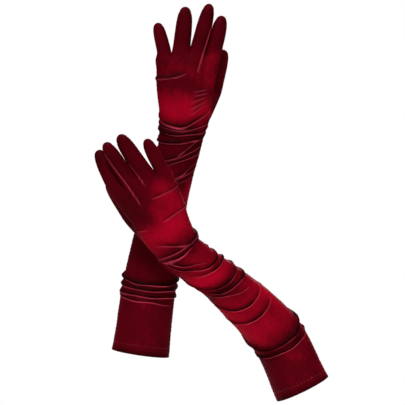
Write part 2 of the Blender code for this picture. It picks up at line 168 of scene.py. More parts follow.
# --- Folds ---------------------------------------------------------------------------------------------------
# Each fold is a roll of cloth that runs round the arm and hangs over towards the cuff, with a painted highlight along
# the line where the next stretch of cloth comes out from under it, and painted shade over the roll above that line: the
# line's distance from the cuff's edge in mm, the angle round the arm of its middle (0 is the thumb side, 90 the back of
# the hand), how far it reaches to each side in degrees, how far it rises towards the hand in mm for each 90 degrees,
# how much its ends curve towards the hand in mm at 90 degrees, the roll's height in mm and its half width in mm.
FOLDS = {
    "left": (
        (95, 100, 175, -2, 8, 2.7, 3.2),
        (87, 105, 165, -2, 5, 2.6, 3.0),
        (78, 105, 150, -1, 3, 2.2, 2.8),
        (71, 120, 90, 3, 2, 1.3, 2.6),
        (91, 275, 70, 4, 6, 2.2, 3.2),
        (75, 265, 85, -5, 3, 1.8, 3.2),
        (242, 56, 36, -24, 0, 1.2, 2.2),
        (248, 60, 44, -26, 0, 1.6, 2.6),
        (258, 52, 40, -38, 0, 1.5, 2.4),
        (266, 90, 80, -20, 0, 2.0, 2.8),
        (273, 90, 84, -20, 4, 1.9, 2.8),
        (290, 55, 44, -36, 0, 1.5, 2.4),
        (292, 100, 120, -8, 5, 2.2, 3.0),
        (302, 100, 125, -3, 8, 2.0, 2.6),
        (309, 95, 115, -5, 10, 1.8, 2.4),
        (315, 90, 105, -12, 18, 2.4, 3.4),
        (283, 250, 90, 12, 0, 2.0, 3.2),
        (298, 265, 90, 8, 2, 2.2, 3.2),
        (311, 255, 80, 4, 3, 1.8, 3.2),
        (262, 265, 75, 14, 2, 1.5, 3.0),
        (229, 270, 60, 12, 2, 1.1, 3.0),
        (339, 47, 22, -34, 0, 1.1, 2.2),
        (345, 48, 26, -28, 0, 1.2, 2.2),
        (352, 49, 24, -20, 0, 1.1, 2.2),
        (359, 44, 22, -10, 0, 0.9, 2.0),
        (364, 47, 22, -18, 0, 0.9, 2.0),
        (375, 152, 46, -20, 0, 1.4, 2.6),
    ),
    "right": (
        (290, 95, 58, -17, 0, 1.5, 2.6),
        (281, 130, 112, 4, 4, 2.1, 2.8),
        (274, 120, 108, 5, 8, 2.1, 2.4),
        (266, 66, 58, -30, -12, 1.7, 2.6),
        (235, 120, 112, -18, 20, 2.3, 3.2),
        (223, 140, 88, -12, 8, 1.8, 2.8),
        (206, 80, 130, -22, 14, 2.5, 3.0),
        (190, 106, 122, -16, 12, 2.2, 2.8),
        (187, 80, 62, -28, 6, 1.2, 2.4),
        (157, 90, 82, -18, 20, 2.0, 3.0),
        (135, 82, 78, -12, 14, 1.9, 3.0),
        (76, 100, 150, -7, 20, 3.2, 4.0),
        (65, 95, 112, -3, 8, 1.9, 3.0),
        (71, 262, 80, 6, 8, 2.2, 3.2),
        (88, 285, 70, 10, 4, 1.7, 3.2),
        (252, 262, 90, 12, 4, 2.0, 3.2),
        (270, 275, 85, 6, 5, 2.2, 3.2),
        (284, 265, 75, -3, 3, 1.8, 3.0),
        (232, 290, 80, 14, 2, 1.7, 3.0),
        (205, 255, 90, 10, 8, 1.8, 3.2),
        (176, 285, 75, -10, 6, 1.5, 3.0),
        (150, 260, 80, 8, 6, 1.5, 3.2),
        (120, 300, 60, -8, 4, 1.1, 3.0),
        (355, 160, 42, -7, 0, 1.0, 2.4),
        (325, 150, 46, 0, 0, 1.0, 2.6),
        (327, 20, 24, -10, 0, 0.7, 2.4),
    ),
}
ROLL_OFFSET = 0.85           # of a roll's middle from its line, in half widths
FOLD_LEAN = 0.9            # how far a roll's crest hangs over towards the cuff, in heights
LIP = 0.16                  # height of the cloth's edge along the line, in the roll's heights
RIPPLE_MM = 0.14            # unevenness of the stretched cloth between the folds
PUCKER_MM = 0.12            # unevenness beside the side seams
SEAM_DEPTH_MM = 0.30        # of the groove along a seam
BUNCHING = 0.6              # how much higher the folds stand at the arm's sides

# Ridges on the back of the hand, where the cloth is drawn tight between the fingers: distance across and from the
# cuff's edge of both ends, height and half width (all mm), and the strength of the painted highlight along the ridge
# and the painted shade beside it.
RIDGES = {
    "left": ((21, 456, 9, 386, 0.4, 1.5, 0.8),),
    "right": ((14, 440, 8, 356, 0.4, 1.5, 0.7), (-5, 413, -10, 376, 0.3, 1.6, 0.5)),
}

# --- Pile ----------------------------------------------------------------------------------------------------
# Painted sheen of the pile on the back of the arm and hand, bright where the pile is brushed up and dark where it is
# brushed down: distance across towards the thumb and from the cuff's edge, reach across and along (all mm), and
# strength.
PILE_SHEEN_PATCHES = {
    "left": (
        (0, 336, 60, 20, 0.95),
        (0, 393, 30, 12, 0.25),
        (28, 385, 9, 40, 0.3),
        (26, 222, 10, 24, 0.8),
        (0, 38, 14, 30, 0.12),
        (0, 298, 30, 12, -0.15),
    ),
    "right": (
        (0, 140, 60, 62, 0.62),
        (18, 114, 20, 22, 0.45),
        (28, 155, 14, 22, 0.35),
        (-34, 150, 8, 60, 0.35),
        (6, 200, 24, 7, -0.45),
        (14, 228, 24, 16, 1.1),
        (-20, 225, 22, 16, 0.8),
        (0, 260, 40, 18, 0.35),
        (-28, 268, 10, 10, 0.3),
        (0, 312, 60, 21, 0.9),
        (-26, 348, 22, 24, 0.6),
        (22, 348, 16, 18, -0.35),
        (22, 378, 14, 18, -0.3),
        (0, 30, 60, 30, 0.10),
        (22, 50, 14, 50, -0.3),
    ),
}
PILE_SHEEN_REST = -0.1             # painted sheen of the pile elsewhere
TIP_DARKENING = 0.4         # how much darker the colour is towards the fingertips
HEM_DARKENING = 0.8         # and towards the turned edge of the cuff
HEM_MM = 15                 # height of the cloth that is turned up inside the cuff
STITCH_MM = 12              # height of the hem's stitching above the edge
STITCH_PITCH = 0.0030

# Colours of the pile, from dark through mid to bright, mixed by its painted sheen.
VELVET_DARK = (0.020, 0.0001, 0.001, 1)
VELVET_MID = (0.060, 0.0002, 0.0028, 1)
VELVET_BRIGHT = (0.29, 0.0006, 0.011, 1)
# The next two colours are painted light: a pinkish painted highlight along each fold's line, and a near-black painted
# shade over the roll above it.
VELVET_CREST_HIGHLIGHT = (0.62, 0.050, 0.090, 1)
VELVET_CREASE_SHADE = (0.008, 0.0001, 0.0005, 1)


def frame_about(along, out, side, roll=0.0):
    """(across, along, out) unit vectors, with out turned square to along and rolled about it."""
    along = Vector(along).normalized()
    out = Vector(out)
    out = (out - along * out.dot(along)).normalized()
    across = along.cross(out) * side
    turned = out * math.cos(roll) + across * math.sin(roll)
    return along.cross(turned) * side, along, turned


def hermite(start, end, start_slope, end_slope, t):
    t2, t3 = t * t, t * t * t
    return (
        start * (2 * t3 - 3 * t2 + 1)
        + start_slope * (t3 - 2 * t2 + t)
        + end * (3 * t2 - 2 * t3)
        + end_slope * (t3 - t2)
    )


def smoothstep(low, high, x):
    t = np.clip((x - low) / (high - low), 0, 1)
    return t * t * (3 - 2 * t)


def roundness(count):
    """How much wider a ring of that many points must be for its subdivided surface to pass through them."""
    return 1 / (2 / 3 + math.cos(math.tau / count) / 3)


def arm_half_size(share):
    for (low, *first), (high, *second) in zip(ARM_SIZES, ARM_SIZES[1:]):
        if share <= high:
            t = (share - low) / (high - low)
            return tuple(a + (b - a) * t for a, b in zip(first, second))
    return WRIST_HALF


def finger_layout():
    """(across, along) where each dorsal column reaches the line of the finger crotches, from the thumb side."""
    edges = [RADIAL_EDGE, *CROTCHES, ULNAR_EDGE]
    points = [RADIAL_EDGE]
    for i, finger in enumerate(FINGERS):
        (x0, a0), (_, a1) = edges[i], edges[i + 1]
        points.append((x0 - EDGE_INSET, a0) if i == 0 else (x0, a0 - CROTCH_DIP))
        points.append((FINGER_ROOTS[finger][0][0], (a0 + a1) / 2 + 0.001))
    return [*points, (ULNAR_EDGE[0] + EDGE_INSET, ULNAR_EDGE[1]), ULNAR_EDGE]


def palm_section(row):
    """The palm's cross-section at one row, as (across, along, out) points from the thumb side round the back."""
    along, ulnar, radial, depth = row
    middle, half = (ulnar + radial) / 2, (radial - ulnar) / 2
    layout = finger_layout()
    blend = max(0.0, (along - 0.045) / (RADIAL_EDGE[1] - 0.045))
    points = []
    for column in range(COLUMNS):
        angle = math.tau * column / COLUMNS
        c, s = math.cos(angle), math.sin(angle)
        x = middle + half * math.copysign(abs(c) ** PALM_SQUARENESS, c)
        out = depth * math.copysign(abs(s) ** PALM_SQUARENESS, s)
        mirrored = column if column <= HALF_COLUMNS else COLUMNS - column
        x_layout, along_layout = layout[mirrored]
        share = (radial - x_layout) / (RADIAL_EDGE[0] - ULNAR_EDGE[0])
        x = x * (1 - blend) + (radial - share * (radial - ulnar)) * blend
        bulge = (along_layout - (RADIAL_EDGE[1] + ULNAR_EDGE[1]) / 2) * blend * 0.7
        points.append((x, along + bulge, out))
    return points


def crotch_section():
    points = []
    layout = finger_layout()
    for column in range(COLUMNS):
        mirrored = column if column <= HALF_COLUMNS else COLUMNS - column
        x, along = layout[mirrored]
        depth = WEB_HALF_DEPTH if mirrored in (1, 3, 5, 7, 9) else KNUCKLE_HALF_DEPTH
        if column in (0, HALF_COLUMNS):
            depth = 0.0
        points.append((x, along, depth if column < HALF_COLUMNS else -depth))
    return points


def side_of(column):
    return "back" if column < HALF_COLUMNS else "palm"


def finger_panel(finger, column, whole_sides):
    """The panel that a finger's facet belongs to. whole_sides is True next to the tip, past the fourchettes."""
    if not whole_sides:
        if column in ULNAR_SIDE and finger != "little":
            return f"{finger}_ulnar_fourchette"
        if column in RADIAL_SIDE and finger != "index":
            return f"{finger}_radial_fourchette"
    return f"{finger}_back" if column < 4 else f"{finger}_front"


class Glove:
    """One glove's cage: points, and facets grouped by the cloth panel that they belong to."""

    def __init__(self, name):
        spec = GLOVES[name]
        self.name, self.side, self.spec = name, spec["side"], spec
        self.points, self.facets, self.panels = [], [], []
        self.wrist = Vector(spec["arm"][-1])
        self.hand_frame = frame_about(spec["hand_axis"], (0, -1, 0), self.side, spec["roll"])
        knots = [Vector(knot) for knot in spec["arm"]]
        lengths = [(b - a).length for a, b in zip(knots, knots[1:])]
        slopes = [Vector(spec["cuff_axis"]).normalized()]
        slopes += [(c - a).normalized() for a, c in zip(knots, knots[2:])]
        slopes += [Vector(spec["hand_axis"]).normalized()]
        self.knots, self.lengths, self.slopes = knots, lengths, slopes
        ring = self.sleeve()
        self.palm(ring)

    def place(self, share):
        reach = share * sum(self.lengths)
        for i, length in enumerate(self.lengths):
            if reach <= length or i == len(self.lengths) - 1:
                break
            reach -= length
        slopes = self.slopes[i] * length, self.slopes[i + 1] * length
        return hermite(self.knots[i], self.knots[i + 1], *slopes, reach / length)

    def line(self, share):
        step = 0.001
        return self.place(share), (self.place(min(share + step, 1)) - self.place(max(share - step, 0))).normalized()

    def arm_ring(self, share, inset=0.0):
        centre, along = self.line(share)
        across, _, out = frame_about(along, (0, -1, 0), self.side, self.spec["roll"])
        width, depth = arm_half_size(share)
        angles = [math.tau * i / COLUMNS for i in range(COLUMNS)]
        k = roundness(COLUMNS)
        return [centre + across * ((width - inset) * k * math.cos(a)) + out * ((depth - inset) * k * math.sin(a))
                for a in angles]

    def in_hand(self, point):
        across, along, out = self.hand_frame
        return self.wrist + across * point[0] + along * point[1] + out * point[2]

    def add(self, points):
        first = len(self.points)
        self.points += points
        return list(range(first, len(self.points)))

    def face(self, panel, corners):
        self.facets.append(corners)
        self.panels.append(panel)

    def join_rings(self, lower, upper, panel_of):
        n = len(lower)
        for i in range(n):
            panel = panel_of(i)
            if panel:
                self.face(panel, (lower[i], lower[(i + 1) % n], upper[(i + 1) % n], upper[i]))

    def close_tip(self, ring, tip, panel_of):
        n = len(ring)
        for i in range(0, n, 2):
            self.face(panel_of(i), (ring[i], ring[(i + 1) % n], ring[(i + 2) % n], tip))

    def sleeve(self):
        rings = [self.add(self.arm_ring(i / (SLEEVE_RINGS - 1))) for i in range(SLEEVE_RINGS)]
        for lower, upper in zip(rings, rings[1:]):
            self.join_rings(lower, upper, lambda c: f"sleeve_{side_of(c)}")
        return rings[-1]

    def palm(self, ring):
        rows = [ring]
        k = roundness(COLUMNS)
        for row in PALM_ROWS[1:]:
            wide = (row[0], row[1] * k, row[2] * k, row[3] * k)
            rows.append(self.add([self.in_hand(p) for p in palm_section(wide)]))
        rows.append(self.add([self.in_hand(p) for p in crotch_section()]))
        first, last = THUMB_ROWS
        hole = range(COLUMNS - THUMB_COLUMNS, COLUMNS)
        for i, (lower, upper) in enumerate(zip(rows, rows[1:])):
            part = "sleeve" if i < WRIST_ROW else "hand"
            in_hole = first <= i < last
            self.join_rings(lower, upper, lambda c: None if in_hole and c in hole else f"{part}_{side_of(c)}")
        self.fingers(rows[-1])
        self.thumb(rows[first:last + 1])

    def fingers(self, row):
        webs = [row[0], *self.add([self.in_hand((x, a, 0.0)) for x, a in CROTCHES]), row[HALF_COLUMNS]]
        for i, finger in enumerate(FINGERS):
            dorsal = [row[1 + 2 * i + k] for k in range(3)]
            palmar = [row[COLUMNS - 1 - 2 * i - k] for k in range(3)]
            self.finger(finger, [webs[i], *dorsal, webs[i + 1], *reversed(palmar)])

    def finger(self, finger, base):
        root, half_width, half_depth = FINGER_ROOTS[finger]
        start, tip = self.in_hand(root), self.in_hand(self.spec["tips"][finger])
        tip = start.lerp(tip, TIP_REACH)
        across, _, out = frame_about(tip - start, self.hand_frame[2], self.side)
        k = roundness(len(FINGER_ANGLES))
        lower = base
        for share, width in FINGER_STATIONS:
            centre = start.lerp(tip, share) + out * (FINGER_BOW * 4 * share * (1 - share))
            upper = self.add([
                centre + across * (half_width * width * k * math.cos(a)) + out * (half_depth * width * k * math.sin(a))
                for a in FINGER_ANGLES
            ])
            past = share > FINGER_STATIONS[-2][0]
            self.join_rings(lower, upper, lambda c: finger_panel(finger, c, past))
            lower = upper
        self.close_tip(lower, self.add([tip])[0], lambda c: finger_panel(finger, c, True))

    def thumb(self, rows):
        seam, end = 0, COLUMNS - THUMB_COLUMNS
        low, high = rows[0], rows[-1]
        columns = list(range(COLUMNS - 1, end, -1))
        sides = (
            [row[seam] for row in rows[:-1]],
            [high[seam], *[high[c] for c in columns]],
            [row[end] for row in reversed(rows[1:])],
            [low[end], *[low[c] for c in reversed(columns)]],
        )
        base, angles = [], []
        for side, (start, stop) in zip(sides, zip(THUMB_CORNERS, THUMB_CORNERS[1:])):
            for i, point in enumerate(side):
                base.append(point)
                angles.append(math.radians(start + (stop - start) * i / len(side)))
        root = self.in_hand(THUMB_ROOT)
        tip = root.lerp(self.in_hand(self.spec["tips"]["thumb"]), TIP_REACH)
        across, _, out = frame_about(tip - root, self.hand_frame[2], self.side)
        k = roundness(len(base))
        lower = base
        half = len(base) // 2
        for share, half_width, half_depth in THUMB_STATIONS:
            centre = root.lerp(tip, share)
            upper = self.add([
                centre + across * (half_width * k * math.cos(a)) + out * (half_depth * k * math.sin(a)) for a in angles
            ])
            self.join_rings(lower, upper, lambda c: "thumb_back" if c < half else "thumb_front")
            lower = upper
        self.close_tip(lower, self.add([tip])[0], lambda c: "thumb_back" if c < half else "thumb_front")


def smooth_sheet(glove):
    """The cage subdivided: (points, quads, the panel number of each quad, panel names)."""
    names = sorted(set(glove.panels))
    mesh = bpy.data.meshes.new("cage")
    mesh.from_pydata(glove.points, [], glove.facets)
    if glove.side > 0:
        mesh.flip_normals()
    mesh.polygons.foreach_set("material_index", [names.index(p) for p in glove.panels])
    cage = bpy.data.objects.new("cage", mesh)
    bpy.context.scene.collection.objects.link(cage)
    fine = cage.modifiers.new("fine", "SUBSURF")
    fine.levels = LEVELS
    fine.boundary_smooth = "PRESERVE_CORNERS"
    evaluated = cage.evaluated_get(bpy.context.evaluated_depsgraph_get())
    result = evaluated.to_mesh()
    points = np.empty(len(result.vertices) * 3, np.float32)
    result.vertices.foreach_get("co", points)
    quads = np.empty(len(result.polygons) * 4, np.int32)
    result.loops.foreach_get("vertex_index", quads)
    panel = np.empty(len(result.polygons), np.int32)
    result.polygons.foreach_get("material_index", panel)
    evaluated.to_mesh_clear()
    bpy.data.objects.remove(cage)
    return points.reshape(-1, 3).astype(float), quads.reshape(-1, 4), panel, names


def normals_of(points, quads):
    """Unit normals at the points, weighted by area."""
    face = np.cross(points[quads[:, 2]] - points[quads[:, 0]], points[quads[:, 3]] - points[quads[:, 1]])
    normals = np.zeros_like(points)
    for corner in range(4):
        np.add.at(normals, quads[:, corner], face)
    return normals / np.maximum(np.linalg.norm(normals, axis=1), 1e-12)[:, None]


def arm_coordinates(glove, points):
    """For each point: distance from the cuff in mm, angle round the arm, distance across in mm, and the frame there."""
    count = 900
    centres = [glove.place(i / count) for i in range(count + 1)]
    alongs = [glove.line(i / count)[1] for i in range(count + 1)]
    hand_steps = 420
    centres += [glove.in_hand((0, 0.0005 * i, 0)) for i in range(1, hand_steps)]
    alongs += [glove.hand_frame[1]] * (hand_steps - 1)
    centres, alongs = np.array(centres), np.array(alongs)
    steps = np.linalg.norm(np.diff(centres, axis=0), axis=1)
    distance = np.concatenate([[0], np.cumsum(steps)])
    nearest = np.empty(len(points), int)
    for start in range(0, len(points), 20000):
        chunk = points[start:start + 20000]
        squared = (chunk ** 2).sum(1)[:, None] - 2 * chunk @ centres.T + (centres ** 2).sum(1)[None]
        nearest[start:start + 20000] = squared.argmin(1)
    along = alongs[nearest]
    frames = [frame_about(a, (0, -1, 0), glove.side, glove.spec["roll"]) for a in alongs]
    across = np.array([f[0] for f in frames])[nearest]
    out = np.array([f[2] for f in frames])[nearest]
    offset = points - centres[nearest]
    s = (distance[nearest] + (offset * along).sum(1)) * 1000
    x = (offset * across).sum(1) * 1000
    y = (offset * out).sum(1) * 1000
    return s, np.degrees(np.arctan2(y, x)) % 360, x, y, along


def waves(points, size_mm, count, seed):
    """Smooth unevenness from -1 to 1 that is about size_mm across."""
    random = np.random.default_rng(seed)
    total = np.zeros(len(points))
    for _ in range(count):
        direction = random.normal(size=3)
        direction /= np.linalg.norm(direction)
        k = direction * math.tau / (size_mm / 1000) * random.uniform(0.7, 1.4)
        total += np.sin(points @ k + random.uniform(0, math.tau))
    return total / math.sqrt(count / 2) / 1.6


def spread(values, quads, rounds):
    """The values, evened out over the mesh."""
    count = np.zeros(len(values))
    np.add.at(count, quads.ravel(), 1)
    for _ in range(rounds):
        mean = values[quads].mean(axis=1)
        total = np.zeros(len(values))
        for corner in range(4):
            np.add.at(total, quads[:, corner], mean)
        values = total / count
    return values


def fold_cloth(glove, points, normals, coordinates, digit):
    """Moves the points for every fold. Returns the new points, and how much painted highlight and painted shade each
    one gets.
    """
    s, phi, across, out, along = coordinates
    outward, slide = np.zeros(len(s)), np.zeros(len(s))
    painted_highlight, painted_shade = np.zeros(len(s)), np.zeros(len(s))
    wobble = waves(points, 38, 6, 11) * 0.8
    uneven = 1 + 0.2 * waves(points, 30, 5, 12)
    body = 1 - digit
    bunched = 1 + BUNCHING * np.cos(np.radians(phi)) ** 4
    for number, (at, middle, reach, slant, bow, height, width) in enumerate(FOLDS[glove.name]):
        turn = (phi - middle + 180) % 360 - 180
        taper = np.clip(1 - (turn / reach) ** 2, 0, 1) ** 0.8 * uneven * body
        line = at + slant * turn / 90 + bow * (turn / 90) ** 2 + wobble * math.sin(number * 2.4 + 1)
        x = (s - line) / width
        roll = np.exp(-2.0 * (x - ROLL_OFFSET) ** 2)
        lip = np.exp(-5 * (x + 0.15) ** 2)
        outward += height * taper * bunched * (roll + LIP * lip)
        slide -= FOLD_LEAN * height * taper * roll
        strength = np.minimum(taper, 1) * min(height / 1.8, 1.0)
        # painted highlight along the line where the cloth comes out from under the roll
        painted_highlight = np.maximum(painted_highlight, strength * np.exp(-9 * (x + 0.12) ** 2))
        # painted shade over the roll, darkest just above the line and fading towards the hand
        narrow = np.exp(-np.where(x > 0.7, 0.7, 5) * (x - 0.7) ** 2)
        wide = np.exp(-np.where(x > 0.7, 0.15, 5) * (x - 0.7) ** 2)
        shade = 0.8 * narrow + 0.2 * wide
        painted_shade = np.maximum(painted_shade, strength * shade)
    for x0, s0, x1, s1, height, width, bright in RIDGES[glove.name]:
        way = np.array([x1 - x0, s1 - s0], float)
        share = ((across - x0) * way[0] + (s - s0) * way[1]) / way.dot(way)
        off = (across - x0 - way[0] * share) / width
        taper = (out > 0) * np.clip(1 - (2 * share - 1) ** 2, 0, 1) ** 0.5
        outward += height * taper * np.exp(-off ** 2)
        # painted highlight along the ridge, and painted shade just beside it
        painted_highlight += bright * taper * np.exp(-6 * off ** 2)
        painted_shade += 0.5 * bright * taper * np.exp(-2 * (off + 1.6) ** 2)
    beside_seam = np.exp(-(((phi + 90) % 180 - 90) / 24) ** 2) * body
    outward += PUCKER_MM * beside_seam * np.sin(s * 1.15 + 2.5 * waves(points, 60, 5, 6))
    ripple = RIPPLE_MM * (waves(points, 14, 8, 3) + 0.6 * waves(points, 7, 8, 4))
    move = normals * ((outward + ripple * (0.35 + 0.65 * body)) / 1000)[:, None] + along * (slide / 1000)[:, None]
    return points + move, np.clip(painted_highlight, 0, 1.2), np.clip(painted_shade, 0, 1.2)


def sewn_side(panel):
    """Which of the pieces that were cut out a panel belongs to. The sleeve, hand and fingers are one piece a side."""
    if panel.startswith("thumb") or panel.endswith("fourchette"):
        return panel
    return "back" if panel.endswith("back") else "palm"


def seam_points(count, quads, panel, names):
    """1 at the points where two pieces are sewn together, and 0 elsewhere."""
    sides = sorted({sewn_side(n) for n in names})
    side = np.array([sides.index(sewn_side(n)) for n in names])[panel]
    low, high = np.full(count, len(sides)), np.full(count, -1)
    for corner in range(4):
        np.minimum.at(low, quads[:, corner], side)
        np.maximum.at(high, quads[:, corner], side)
    return (high > low).astype(float)


def painted_pile_sheen_of(glove, points, coordinates, digit_reach):
    """How far the pile is brushed up, as painted sheen from -1 (dark) to 1 (bright), at each point."""
    s, _, x, y, _ = coordinates
    back = smoothstep(-8, 2, y)
    total = np.full(len(s), PILE_SHEEN_REST)
    for across, at, reach_across, reach_along, strength in PILE_SHEEN_PATCHES[glove.name]:
        total += back * strength * np.exp(-((x - across) / reach_across) ** 2 - ((s - at) / reach_along) ** 2)
    total += (1 - back) * 0.35 * waves(points, 70, 5, 21)
    total += 0.10 * waves(points, 26, 6, 22) + 0.05 * waves(points, 9, 8, 23)
    total -= TIP_DARKENING * digit_reach + HEM_DARKENING * (1 - smoothstep(1, 10, s))
    return np.clip(total, -1, 1)


# --- Materials -----------------------------------------------------------------------------------------------


class Nodes:
    """A short way to write a material's nodes."""

    def __init__(self, name):
        self.material = bpy.data.materials.new(name)
        self.material.use_nodes = True
        self.tree = self.material.node_tree
        self.shader = self.tree.nodes["Principled BSDF"]

    def add(self, kind, inputs=None, **settings):
        node = self.tree.nodes.new(kind)
        for key, value in settings.items():
            setattr(node, key, value)
        for key, value in (inputs or {}).items():
            self.put(node.inputs[key], value)
        return node

    def put(self, socket, value):
        if hasattr(value, "links"):
            self.tree.links.new(value, socket)
        else:
            socket.default_value = value

    def mix(self, factor, first, second, blend="MIX"):
        node = self.add("ShaderNodeMix", data_type="RGBA", blend_type=blend)
        self.put(node.inputs[0], factor)
        self.put(node.inputs[6], first)
        self.put(node.inputs[7], second)
        return node.outputs[2]

    def maths(self, operation, *values, clamp=False):
        node = self.add("ShaderNodeMath", operation=operation, use_clamp=clamp)
        for socket, value in zip(node.inputs, values):
            self.put(socket, value)
        return node.outputs[0]

    def attribute(self, name):
        return self.add("ShaderNodeAttribute", attribute_name=name).outputs["Fac"]

    def noise(self, scale, detail=2.0, roughness=0.5):
        position = self.add("ShaderNodeTexCoord").outputs["Object"]
        inputs = {"Vector": position, "Scale": scale, "Detail": detail, "Roughness": roughness}
        return self.add("ShaderNodeTexNoise", inputs).outputs["Fac"]


def velvet_material():
    """Pile: its colour runs from dark through red to bright with the painted sheen of its brushing, with painted shade
    and painted highlights at the folds, and its fibres break the gloss.
    """
    m = Nodes("stretch_velvet")
    fleck = m.maths("MULTIPLY", m.maths("SUBTRACT", m.noise(900, 3), 0.5), 0.4)
    mottle = m.maths("MULTIPLY", m.maths("SUBTRACT", m.noise(110, 4, 0.6), 0.5), 0.25)
    # painted sheen of the pile, with random flecks and mottling added
    painted_pile_sheen = m.maths("ADD", m.maths("ADD", m.attribute("painted_pile_sheen"), fleck), mottle)
    up = m.maths("MULTIPLY", painted_pile_sheen, 1.0, clamp=True)
    down = m.maths("MULTIPLY", painted_pile_sheen, -1.0, clamp=True)
    colour = m.mix(down, m.mix(up, VELVET_MID, VELVET_BRIGHT), VELVET_DARK)
    # painted shade over the folds' rolls, beside the ridges and along the seams; the sheen is held back there too
    shade = m.maths("MULTIPLY", m.attribute("painted_shade"), 1.1, clamp=True)
    colour = m.mix(shade, colour, VELVET_CREASE_SHADE)
    # painted highlight along the folds' lines and the ridges, mixed over the colour
    colour = m.mix(m.maths("MULTIPLY", m.attribute("painted_highlight"), 0.75, clamp=True), colour, VELVET_CREST_HIGHLIGHT)
    m.put(m.shader.inputs["Base Color"], colour)
    m.shader.inputs["Roughness"].default_value = 0.6
    m.shader.inputs["Specular IOR Level"].default_value = 0.01
    m.put(m.shader.inputs["Sheen Weight"], m.maths("MULTIPLY", m.maths("SUBTRACT", 1.0, shade), 0.10))
    m.shader.inputs["Sheen Roughness"].default_value = 0.4
    m.shader.inputs["Sheen Tint"].default_value = (0.8, 0.0, 0.035, 1)
    bump = m.add("ShaderNodeBump", {"Strength": 0.35, "Distance": 0.0003, "Height": m.noise(1500, 3, 0.6)})
    coarse = m.add("ShaderNodeBump", {
        "Strength": 0.5, "Distance": 0.0006, "Height": m.noise(260, 3), "Normal": bump.outputs[0],
    })
    m.put(m.shader.inputs["Normal"], coarse.outputs[0])
    return m.material


def backing_material():
    """The knitted inner side: fine courses and wales in a duller red."""
    m = Nodes("knit_backing")
    position = m.add("ShaderNodeTexCoord").outputs["Object"]
    loops = m.add("ShaderNodeTexVoronoi", {"Vector": position, "Scale": 1400.0}).outputs["Distance"]
    tone = m.maths("MULTIPLY", m.noise(120, 3), 0.7)
    colour = m.mix(tone, (0.075, 0.002, 0.008, 1), (0.16, 0.006, 0.018, 1))
    colour = m.mix(m.maths("MULTIPLY", loops, 0.9, clamp=True), colour, (0.03, 0.001, 0.004, 1))
    m.put(m.shader.inputs["Base Color"], colour)
    m.shader.inputs["Roughness"].default_value = 0.9
    m.shader.inputs["Specular IOR Level"].default_value = 0.2
    bump = m.add("ShaderNodeBump", {"Strength": 0.5, "Distance": 0.0003, "Height": loops})
    m.put(m.shader.inputs["Normal"], bump.outputs[0])
    return m.material


def thread_material():
    """Twisted polyester thread."""
    m = Nodes("sewing_thread")
    position = m.add("ShaderNodeTexCoord").outputs["Object"]
    twist = m.add("ShaderNodeTexWave", {"Vector": position, "Scale": 900.0, "Distortion": 1.5}, bands_direction="DIAGONAL")
    colour = m.mix(twist.outputs["Fac"], (0.05, 0.001, 0.004, 1), (0.15, 0.003, 0.012, 1))
    m.put(m.shader.inputs["Base Color"], colour)
    m.shader.inputs["Roughness"].default_value = 0.45
    bump = m.add("ShaderNodeBump", {"Strength": 0.4, "Distance": 0.0001, "Height": twist.outputs["Fac"]})
    m.put(m.shader.inputs["Normal"], bump.outputs[0])
    return m.material


# --- Cloth pieces --------------------------------------------------------------------------------------------


def cloth_piece(name, points, quads, normals, values, materials):
    """One panel: the pile side, the inner side THICKNESS below it, and the edge between them."""
    used, corners = np.unique(quads, return_inverse=True)
    corners = corners.reshape(-1, 4)
    outer, normal = points[used], normals[used]
    inner = outer - normal * THICKNESS
    count = len(used)
    edges = np.concatenate([corners[:, [i, (i + 1) % 4]] for i in range(4)])
    keys = np.sort(edges, axis=1)
    _, index, uses = np.unique(keys, axis=0, return_inverse=True, return_counts=True)
    open_edges = edges[uses[index.reshape(-1)] == 1]
    first, second = open_edges[:, 0], open_edges[:, 1]
    rim = np.stack([second, first, first + count, second + count], axis=1)
    faces = np.concatenate([corners, corners[:, ::-1] + count, rim])
    mesh = bpy.data.meshes.new(name)
    everything = np.concatenate([outer, inner])
    mesh.vertices.add(len(everything))
    mesh.vertices.foreach_set("co", everything.astype(np.float32).ravel())
    mesh.loops.add(faces.size)
    mesh.loops.foreach_set("vertex_index", faces.astype(np.int32).ravel())
    mesh.polygons.add(len(faces))
    mesh.polygons.foreach_set("loop_start", np.arange(0, faces.size, 4, dtype=np.int32))
    mesh.update(calc_edges=True)
    mesh.polygons.foreach_set("use_smooth", np.ones(len(faces), bool))
    slots = np.repeat([0, 1, 0], [len(corners), len(corners), len(rim)])
    mesh.polygons.foreach_set("material_index", slots.astype(np.int32))
    for key, value in values.items():
        attribute = mesh.attributes.new(key, "FLOAT", "POINT")
        attribute.data.foreach_set("value", np.tile(value[used], 2).astype(np.float32))
    for item in materials:
        mesh.materials.append(item)
    side = everything[rim[:, 1]] - everything[rim[:, 0]]
    down = everything[rim[:, 3]] - everything[rim[:, 0]]
    rim_normal = np.cross(side, down)
    rim_normal /= np.maximum(np.linalg.norm(rim_normal, axis=1), 1e-12)[:, None]
    pile_loops = normal[corners].reshape(-1, 3)
    inner_loops = -normal[corners[:, ::-1]].reshape(-1, 3)
    loops = np.concatenate([pile_loops, inner_loops, np.repeat(rim_normal, 4, axis=0)])
    mesh.normals_split_custom_set(loops.tolist())
    made = bpy.data.objects.new(name, mesh)
    bpy.context.scene.collection.objects.link(made)
    return made


